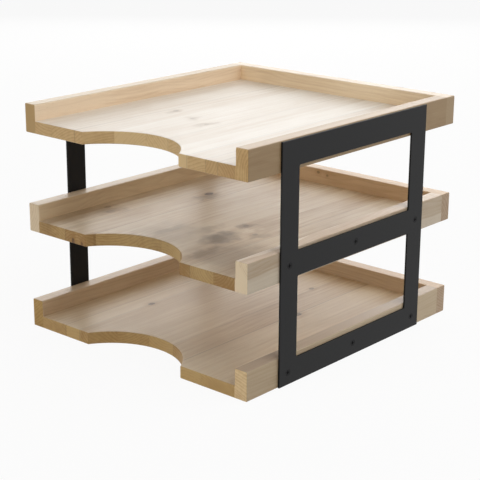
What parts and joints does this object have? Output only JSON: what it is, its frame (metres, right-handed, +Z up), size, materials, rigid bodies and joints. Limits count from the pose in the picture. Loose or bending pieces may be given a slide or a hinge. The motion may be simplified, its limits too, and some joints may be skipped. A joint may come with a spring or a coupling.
{
  "type": "letter tray stack",
  "caption": "Stack of open wooden letter trays with finger scoops in their front edges, held one above another between two flat black steel ladder frames.",
  "frame": {"origin": "on the ground, under the middle of the stack's footprint", "axes": "+X to the right across the trays, seen from the open front; +Y from the open front to the back rails; +Z up"},
  "size_m": [0.304, 0.33, 0.24],
  "materials": {
    "oak_panel": "matt oil over sanded, edge-glued staves",
    "oak_rail": "matt oil, sanded, end grain at the front",
    "black_powder_coat": "satin black powder coat",
    "black_screw": "black zinc, on the screws and the hidden pins",
    "beech_dowel": "plain, hidden in the seams"
  },
  "bodies": {
    "root": {"lower_base_panel": "oak_panel", "lower_left_rail": "oak_rail", "lower_right_rail": "oak_rail", "lower_back_rail": "oak_rail", "middle_base_panel": "oak_panel", "middle_left_rail": "oak_rail", "middle_right_rail": "oak_rail", "middle_back_rail": "oak_rail", "upper_base_panel": "oak_panel", "upper_left_rail": "oak_rail", "upper_right_rail": "oak_rail", "upper_back_rail": "oak_rail", "left_side_frame": "black_powder_coat", "right_side_frame": "black_powder_coat", "lower_left_screws": "black_screw", "lower_right_screws": "black_screw", "middle_left_screws": "black_screw", "middle_right_screws": "black_screw", "upper_left_pins": "black_screw", "upper_right_pins": "black_screw", "lower_left_dowels": "beech_dowel", "lower_right_dowels": "beech_dowel", "lower_back_dowels": "beech_dowel", "lower_corner_dowels": "beech_dowel", "middle_left_dowels": "beech_dowel", "middle_right_dowels": "beech_dowel", "middle_back_dowels": "beech_dowel", "middle_corner_dowels": "beech_dowel", "upper_left_dowels": "beech_dowel", "upper_right_dowels": "beech_dowel", "upper_back_dowels": "beech_dowel", "upper_corner_dowels": "beech_dowel"}
  },
  "joints": []
}
